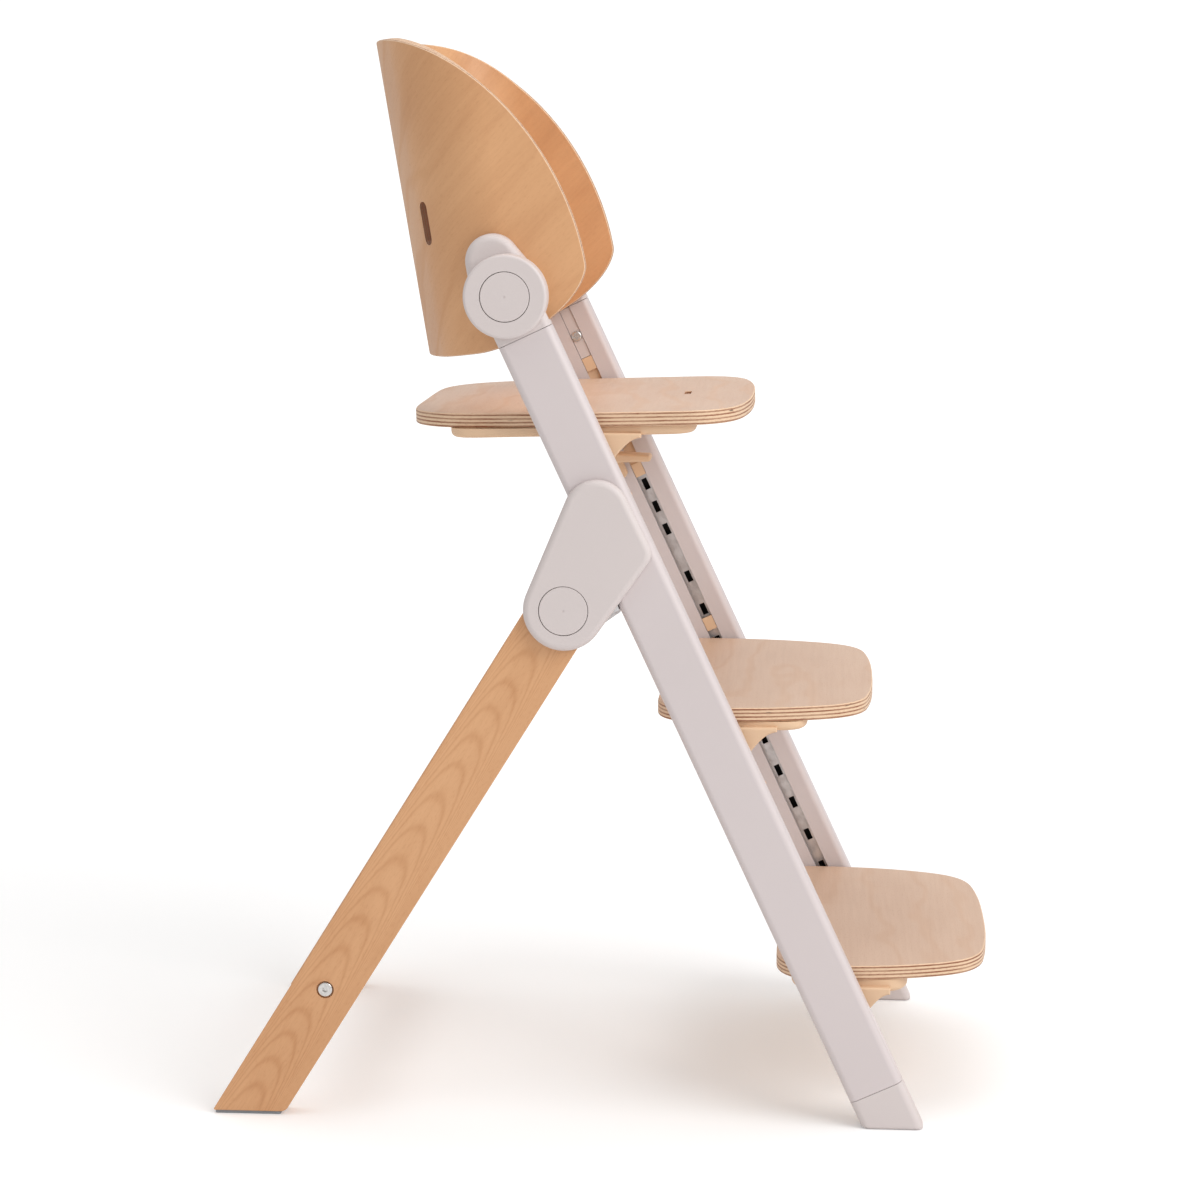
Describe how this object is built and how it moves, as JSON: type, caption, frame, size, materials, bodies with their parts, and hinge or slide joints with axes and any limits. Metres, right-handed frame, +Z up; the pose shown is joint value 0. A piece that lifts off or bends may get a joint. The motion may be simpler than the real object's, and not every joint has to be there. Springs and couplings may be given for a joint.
{
  "type": "folding high chair",
  "caption": "Folding high chair with a bent plywood backrest, height-adjustable seat and footrest, a fixed step and folding rear legs.",
  "frame": {"origin": "centre of the bounding box, on the floor that the chair stands on", "axes": "+Z up, front of the chair towards -Y, +X to the seated child's left"},
  "size_m": [0.418, 0.6566, 0.8998],
  "materials": {
    "painted_aluminium": "satin greige powder coat",
    "greige_plastic": "fine matt moulded plastic",
    "beech": "clear matt lacquer on solid beech",
    "plywood": "clear satin lacquer on beech plywood",
    "bent_plywood": "clear satin lacquer on bent beech plywood",
    "tan_plastic": "matt moulded plastic",
    "steel": "zinc plated",
    "pad_rubber": "soft matt"
  },
  "bodies": {
    "root": {"front_leg_left": "painted_aluminium", "front_leg_right": "painted_aluminium", "height_rail_left": "steel", "height_rail_right": "steel", "front_foot_left": "greige_plastic", "front_foot_right": "greige_plastic", "top_cap_left": "greige_plastic", "top_cap_right": "greige_plastic", "backrest_axle_left": "steel", "backrest_axle_right": "steel", "slot_stop_left": "greige_plastic", "slot_stop_right": "greige_plastic", "stop_screw_left": "steel", "stop_screw_right": "steel", "hinge_cover_left": "greige_plastic", "hinge_cover_right": "greige_plastic", "hinge_bracket_left": "steel", "hinge_bracket_right": "steel", "hinge_axle_left": "steel", "hinge_axle_right": "steel", "step_glider_left": "tan_plastic", "step_glider_right": "tan_plastic", "step_screw_left": "steel", "step_screw_right": "steel", "step_board": "plywood", "step_carrier": "tan_plastic"},
    "rear_frame": {"rear_leg_left": "beech", "rear_leg_right": "beech", "crossbar_bolt_left": "steel", "crossbar_bolt_right": "steel", "rear_foot_pad_left": "pad_rubber", "rear_foot_pad_right": "pad_rubber", "rear_crossbar": "beech"},
    "backrest": {"backrest_shell": "bent_plywood", "backrest_arm_left": "greige_plastic", "backrest_arm_right": "greige_plastic", "backrest_screw_left": "steel", "backrest_screw_right": "steel"},
    "seat": {"seat_board": "plywood", "seat_carrier": "tan_plastic", "seat_glider_left": "tan_plastic", "seat_glider_right": "tan_plastic"},
    "footrest": {"footrest_board": "plywood", "footrest_carrier": "tan_plastic", "footrest_glider_left": "tan_plastic", "footrest_glider_right": "tan_plastic"},
    "fold_button_left": {"fold_button_left": "greige_plastic"},
    "hinge_button_left": {"hinge_button_left": "greige_plastic"},
    "seat_lever_left": {"seat_lever_left": "tan_plastic"},
    "seat_lock_left": {"seat_lock_left": "steel"},
    "footrest_lever_left": {"footrest_lever_left": "tan_plastic"},
    "footrest_lock_left": {"footrest_lock_left": "steel"},
    "fold_button_right": {"fold_button_right": "greige_plastic"},
    "hinge_button_right": {"hinge_button_right": "greige_plastic"},
    "seat_lever_right": {"seat_lever_right": "tan_plastic"},
    "seat_lock_right": {"seat_lock_right": "steel"},
    "footrest_lever_right": {"footrest_lever_right": "tan_plastic"},
    "footrest_lock_right": {"footrest_lock_right": "steel"}
  },
  "joints": [
    {"name": "rear_fold", "type": "hinge", "parent": "root", "child": "rear_frame", "pos_m": [0, 0.02901, 0.4368], "axis": [-1, 0, 0], "range_deg": [0, 56.5]},
    {"name": "backrest_fold", "type": "hinge", "parent": "root", "child": "backrest", "pos_m": [0, 0.07596, 0.69179], "axis": [1, 0, 0], "range_deg": [0, 90]},
    {"name": "seat_height", "type": "slide", "parent": "root", "child": "seat", "axis": [0, 0.4218, 0.9067], "range_m": [-0.0705, 0]},
    {"name": "footrest_height", "type": "slide", "parent": "root", "child": "footrest", "axis": [0, 0.4218, 0.9067], "range_m": [-0.1023, 0.0682]},
    {"name": "fold_button_left_press", "type": "slide", "parent": "root", "child": "fold_button_left", "axis": [-1, 0, 0], "range_m": [0, 0.003], "stiffness_N_per_m": 600},
    {"name": "hinge_button_left_press", "type": "slide", "parent": "root", "child": "hinge_button_left", "axis": [-1, 0, 0], "range_m": [0, 0.003], "stiffness_N_per_m": 600},
    {"name": "seat_lever_left_lift", "type": "hinge", "parent": "seat", "child": "seat_lever_left", "pos_m": [0, 0.01509, 0.52423], "axis": [-1, 0, 0], "range_deg": [0, 18], "stiffness_Nm_per_rad": 0.5, "springref_deg": -5.73},
    {"name": "seat_lock_left_slide", "type": "slide", "parent": "seat", "child": "seat_lock_left", "axis": [-1, 0, 0], "range_m": [0, 0.0025]},
    {"name": "footrest_lever_left_lift", "type": "hinge", "parent": "footrest", "child": "footrest_lever_left", "pos_m": [0, -0.09846, 0.28015], "axis": [-1, 0, 0], "range_deg": [0, 18], "stiffness_Nm_per_rad": 0.5, "springref_deg": -5.73},
    {"name": "footrest_lock_left_slide", "type": "slide", "parent": "footrest", "child": "footrest_lock_left", "axis": [-1, 0, 0], "range_m": [0, 0.0025]},
    {"name": "fold_button_right_press", "type": "slide", "parent": "root", "child": "fold_button_right", "axis": [1, 0, 0], "range_m": [0, 0.003], "stiffness_N_per_m": 600},
    {"name": "hinge_button_right_press", "type": "slide", "parent": "root", "child": "hinge_button_right", "axis": [1, 0, 0], "range_m": [0, 0.003], "stiffness_N_per_m": 600},
    {"name": "seat_lever_right_lift", "type": "hinge", "parent": "seat", "child": "seat_lever_right", "pos_m": [0, 0.01509, 0.52423], "axis": [-1, 0, 0], "range_deg": [0, 18], "stiffness_Nm_per_rad": 0.5, "springref_deg": -5.73},
    {"name": "seat_lock_right_slide", "type": "slide", "parent": "seat", "child": "seat_lock_right", "axis": [1, 0, 0], "range_m": [0, 0.0025]},
    {"name": "footrest_lever_right_lift", "type": "hinge", "parent": "footrest", "child": "footrest_lever_right", "pos_m": [0, -0.09846, 0.28015], "axis": [-1, 0, 0], "range_deg": [0, 18], "stiffness_Nm_per_rad": 0.5, "springref_deg": -5.73},
    {"name": "footrest_lock_right_slide", "type": "slide", "parent": "footrest", "child": "footrest_lock_right", "axis": [1, 0, 0], "range_m": [0, 0.0025]}
  ],
  "couplings": [
    {"joint": "seat_lock_left_slide", "follows": "seat_lever_left_lift", "m_per_rad": 0.00795},
    {"joint": "footrest_lock_left_slide", "follows": "footrest_lever_left_lift", "m_per_rad": 0.00795},
    {"joint": "seat_lock_right_slide", "follows": "seat_lever_right_lift", "m_per_rad": 0.00795},
    {"joint": "footrest_lock_right_slide", "follows": "footrest_lever_right_lift", "m_per_rad": 0.00795}
  ]
}
